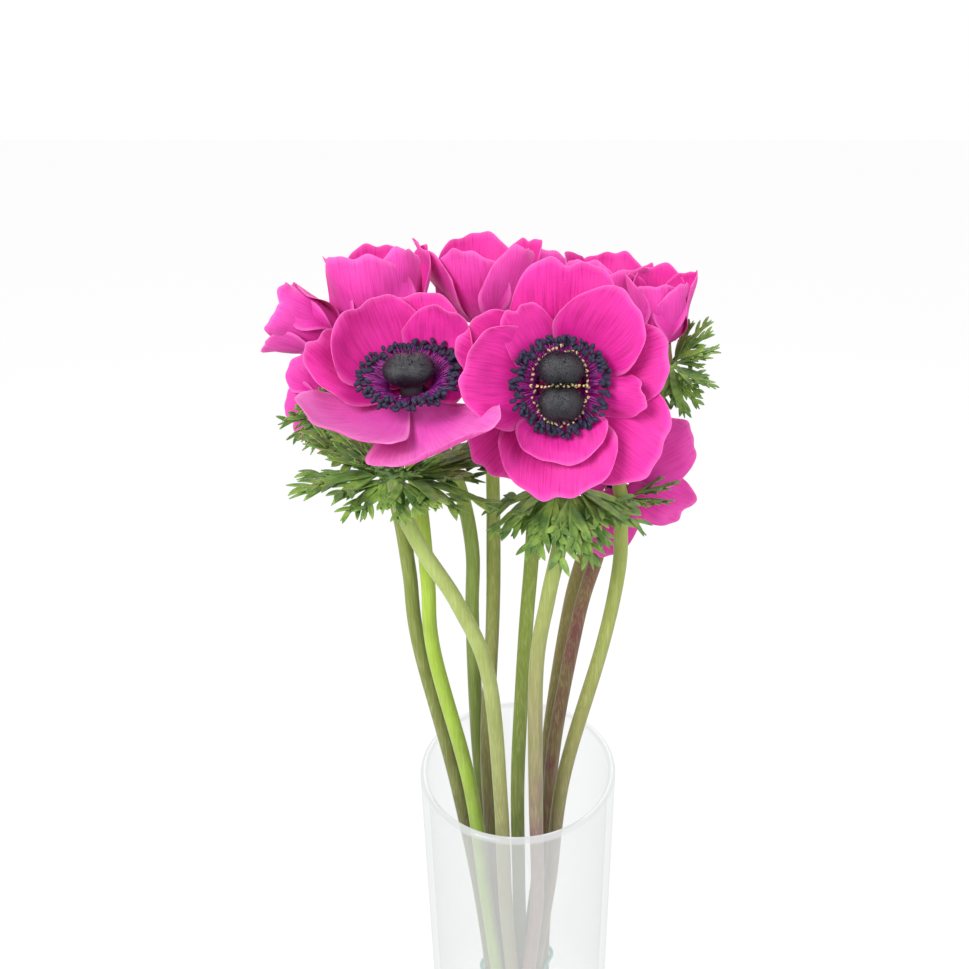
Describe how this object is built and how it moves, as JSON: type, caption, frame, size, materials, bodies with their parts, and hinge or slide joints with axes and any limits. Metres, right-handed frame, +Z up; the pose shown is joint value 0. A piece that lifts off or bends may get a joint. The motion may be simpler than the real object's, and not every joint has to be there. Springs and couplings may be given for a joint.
{
  "type": "vase of anemone flowers",
  "caption": "A bunch of magenta anemones with dark centres and leafy collars, tied with a rubber band and standing in a clear glass cylinder vase.",
  "frame": {"origin": "middle of the vase's flat underside", "axes": "+Z up along the vase's axis; -Y is the side that the two open blooms face"},
  "size_m": [0.1901, 0.1734, 0.4637],
  "materials": {
    "vase": "clear polished glass",
    "band": "matt teal rubber",
    "stem": "softly hairy green stalk, mauve lower down",
    "leaf": "matt green leaf",
    "tepal": "satin magenta tepal with fine veins",
    "seed_head": "blue-black, finely hairy",
    "stamen": "purple filaments with blue-black anthers"
  },
  "bodies": {
    "root": {"centre_back": "seed_head", "centre_centre_back": "seed_head", "centre_far_left": "seed_head", "centre_far_right": "seed_head", "centre_low_left": "seed_head", "centre_low_right": "seed_head", "centre_right_back": "seed_head", "centre_upper_left": "seed_head", "collar_back": "leaf", "collar_centre_back": "leaf", "collar_far_left": "leaf", "collar_far_right": "leaf", "collar_front_left": "leaf", "collar_front_right": "leaf", "collar_low_left": "leaf", "collar_low_right": "leaf", "collar_right_back": "leaf", "collar_upper_left": "leaf", "corolla_back": "tepal", "corolla_centre_back": "tepal", "corolla_far_left": "tepal", "corolla_far_right": "tepal", "corolla_low_left": "tepal", "corolla_low_right": "tepal", "corolla_right_back": "tepal", "corolla_upper_left": "tepal", "glass_vase": "vase", "rubber_band": "band", "seed_head_front_left": "seed_head", "seed_head_front_right": "seed_head", "stamens_front_left": "stamen", "stamens_front_right": "stamen", "stem_back": "stem", "stem_centre_back": "stem", "stem_far_left": "stem", "stem_far_right": "stem", "stem_front_left": "stem", "stem_front_right": "stem", "stem_low_left": "stem", "stem_low_right": "stem", "stem_right_back": "stem", "stem_upper_left": "stem", "tepal_front_left_inner_1": "tepal", "tepal_front_left_inner_2": "tepal", "tepal_front_left_outer_1": "tepal", "tepal_front_left_outer_2": "tepal", "tepal_front_left_outer_3": "tepal", "tepal_front_left_outer_4": "tepal", "tepal_front_left_outer_5": "tepal", "tepal_front_right_inner_1": "tepal", "tepal_front_right_inner_2": "tepal", "tepal_front_right_inner_3": "tepal", "tepal_front_right_inner_4": "tepal", "tepal_front_right_inner_5": "tepal", "tepal_front_right_outer_1": "tepal", "tepal_front_right_outer_2": "tepal", "tepal_front_right_outer_3": "tepal", "tepal_front_right_outer_4": "tepal", "tepal_front_right_outer_5": "tepal", "tepal_front_right_third_1": "tepal"}
  },
  "joints": []
}
